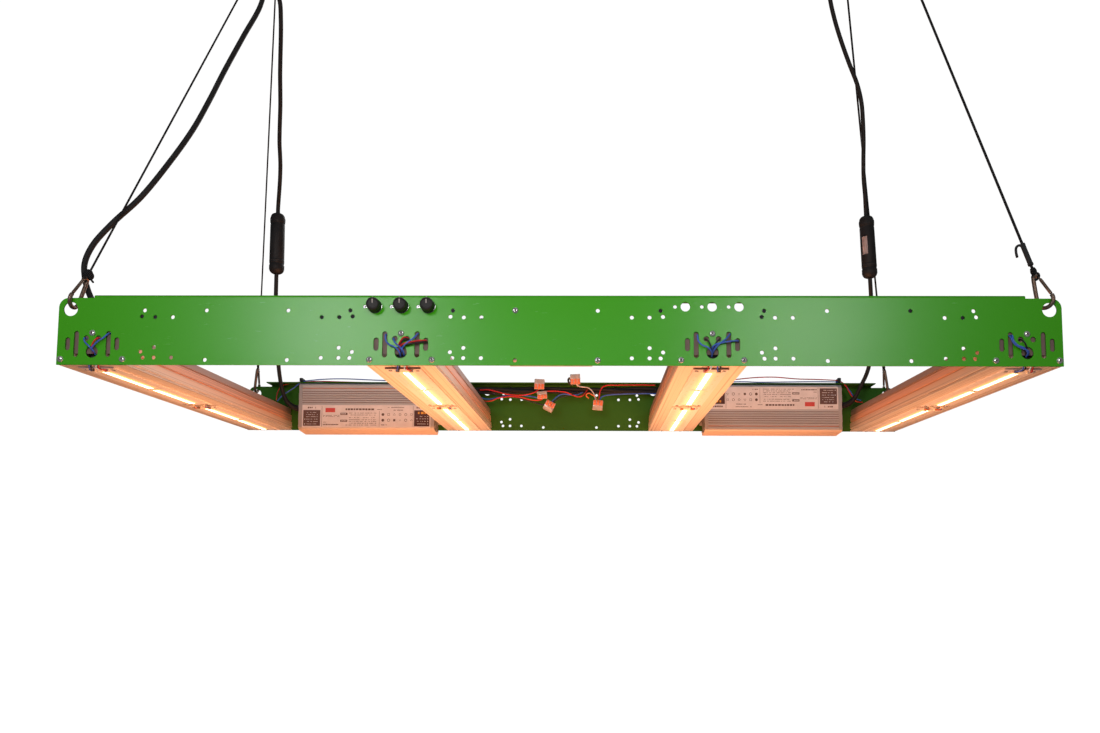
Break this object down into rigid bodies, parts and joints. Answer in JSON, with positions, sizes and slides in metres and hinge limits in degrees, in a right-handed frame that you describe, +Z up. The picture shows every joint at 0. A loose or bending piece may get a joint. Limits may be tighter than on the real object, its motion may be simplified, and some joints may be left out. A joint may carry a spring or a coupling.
{
  "type": "led grow light",
  "caption": "Hanging grow light: finned light bars between two folded rails, with drivers, dimmers, power leads and the ropes, hooks and rings it hangs on.",
  "frame": {"origin": "the seat of the higher hanging ring, above the middle of the light; the light hangs below it", "axes": "+X along the rails, +Y from the dimmer side to the driver side, +Z up"},
  "size_m": [1.2289, 0.6233, 1.1159],
  "materials": {
    "green_paint": "satin powder coat",
    "bar_aluminium": "extruded aluminium, warmly lit",
    "board_white": "white solder mask",
    "driver_casting": "matt extruded housing",
    "bright_steel": "nickel plated",
    "hook_steel": "worn plated steel",
    "black_plastic": "moulded, fine grain",
    "clear_plastic": "clear moulded body",
    "black_rope": "braided cord",
    "lead_jacket": "matt cable jacket"
  },
  "bodies": {
    "light": {"front_rail": "green_paint", "back_rail": "green_paint", "heat_sink_1": "bar_aluminium", "led_board_1_front": "board_white", "led_board_1_back": "board_white", "heat_sink_2": "bar_aluminium", "led_board_2_front": "board_white", "led_board_2_back": "board_white", "heat_sink_3": "bar_aluminium", "led_board_3_front": "board_white", "led_board_3_back": "board_white", "heat_sink_4": "bar_aluminium", "led_board_4_front": "board_white", "led_board_4_back": "board_white", "driver_left_housing": "driver_casting", "driver_left_input_cap": "driver_casting", "driver_left_output_cap": "driver_casting", "driver_right_housing": "driver_casting", "driver_right_input_cap": "driver_casting", "driver_right_output_cap": "driver_casting", "aux_driver_housing": "driver_casting", "dimmer_pot_1": "bright_steel", "dimmer_pot_2": "bright_steel", "dimmer_pot_3": "bright_steel", "rope_front_left": "black_rope", "rope_front_right": "black_rope", "rope_back_left": "black_rope", "rope_back_right": "black_rope", "carabiner_front_left": "hook_steel", "carabiner_front_right": "hook_steel", "carabiner_back_left": "hook_steel", "carabiner_back_right": "hook_steel", "hanger_ring_left": "hook_steel", "hanger_ring_right": "hook_steel", "inline_connector_left": "black_plastic", "inline_connector_right": "black_plastic", "lead_left_lower": "lead_jacket", "lead_left_upper": "lead_jacket", "lead_right_lower": "lead_jacket", "lead_right_upper": "lead_jacket", "lead_aux": "lead_jacket", "lead_coil_left": "lead_jacket", "plug_left": "black_plastic", "lead_coil_right": "lead_jacket", "plug_right": "black_plastic", "lead_coil_aux": "lead_jacket", "plug_aux": "black_plastic", "lever_connector_1": "clear_plastic", "lever_connector_2": "clear_plastic", "lever_connector_3": "clear_plastic", "lever_connector_4": "clear_plastic", "lever_connector_5": "clear_plastic", "output_cable_loom": "lead_jacket"},
    "knob_1": {"dimmer_knob_1": "black_plastic"},
    "knob_2": {"dimmer_knob_2": "black_plastic"},
    "knob_3": {"dimmer_knob_3": "black_plastic"},
    "gate_front_left": {"carabiner_gate_front_left": "hook_steel"},
    "gate_front_right": {"carabiner_gate_front_right": "hook_steel"},
    "gate_back_left": {"carabiner_gate_back_left": "hook_steel"},
    "gate_back_right": {"carabiner_gate_back_right": "hook_steel"}
  },
  "joints": [
    {"name": "dimmer_knob_1_turn", "type": "hinge", "parent": "light", "child": "knob_1", "pos_m": [-0.2227, -0.309, -1.0145], "axis": [0, -1, 0], "range_deg": [-150, 150]},
    {"name": "dimmer_knob_2_turn", "type": "hinge", "parent": "light", "child": "knob_2", "pos_m": [-0.19, -0.309, -1.0145], "axis": [0, -1, 0], "range_deg": [-150, 150]},
    {"name": "dimmer_knob_3_turn", "type": "hinge", "parent": "light", "child": "knob_3", "pos_m": [-0.1573, -0.309, -1.0145], "axis": [0, -1, 0], "range_deg": [-150, 150]},
    {"name": "carabiner_gate_front_left_open", "type": "hinge", "parent": "light", "child": "gate_front_left", "pos_m": [-0.59223, -0.28702, -0.97657], "axis": [0.9854, 0, -0.1702], "range_deg": [0, 28], "stiffness_Nm_per_rad": 0.1, "springref_deg": -17.19},
    {"name": "carabiner_gate_front_right_open", "type": "hinge", "parent": "light", "child": "gate_front_right", "pos_m": [0.59278, -0.29022, -0.97544], "axis": [0.8085, 0.5874, -0.0349], "range_deg": [0, 28], "stiffness_Nm_per_rad": 0.1, "springref_deg": -17.19},
    {"name": "carabiner_gate_back_left_open", "type": "hinge", "parent": "light", "child": "gate_back_left", "pos_m": [-0.59223, 0.28702, -0.97657], "axis": [-0.9854, 0, 0.1702], "range_deg": [0, 28], "stiffness_Nm_per_rad": 0.1, "springref_deg": -17.19},
    {"name": "carabiner_gate_back_right_open", "type": "hinge", "parent": "light", "child": "gate_back_right", "pos_m": [0.59195, 0.29087, -0.9756], "axis": [-0.9849, 0, -0.1732], "range_deg": [0, 28], "stiffness_Nm_per_rad": 0.1, "springref_deg": -17.19}
  ]
}
